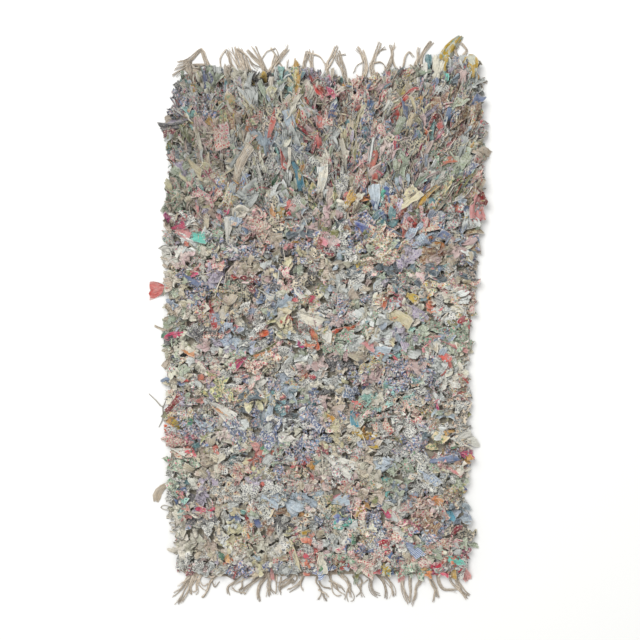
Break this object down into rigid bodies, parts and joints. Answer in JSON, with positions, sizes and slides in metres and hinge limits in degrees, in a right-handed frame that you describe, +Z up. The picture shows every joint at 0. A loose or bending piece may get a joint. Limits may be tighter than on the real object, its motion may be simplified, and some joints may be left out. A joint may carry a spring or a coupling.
{
  "type": "shaggy rag rug",
  "caption": "Flat rectangular rug with a dense shag of cut rag ends knotted on a cotton ground, ragged side edges and a tasselled warp fringe at both ends.",
  "frame": {"origin": "on the underside, below the middle of the whole rug with its fringes", "axes": "+Y along the rug to its far fringe, +X to the right as seen from above, +Z up out of the pile"},
  "size_m": [1.0723, 1.7824, 0.041],
  "materials": {
    "rag_cloth": "matte mixed cotton and viscose rags, plain, flowered, dotted and checked, mostly faded cream, grey, sage and pale pink with red, orange, navy, teal and yellow accents",
    "warp_cotton": "undyed matte spun cotton and wool yarn, slightly soiled"
  },
  "bodies": {
    "root": {"rag_pile": "rag_cloth", "fringe_far": "warp_cotton", "fringe_near": "warp_cotton"}
  },
  "joints": []
}
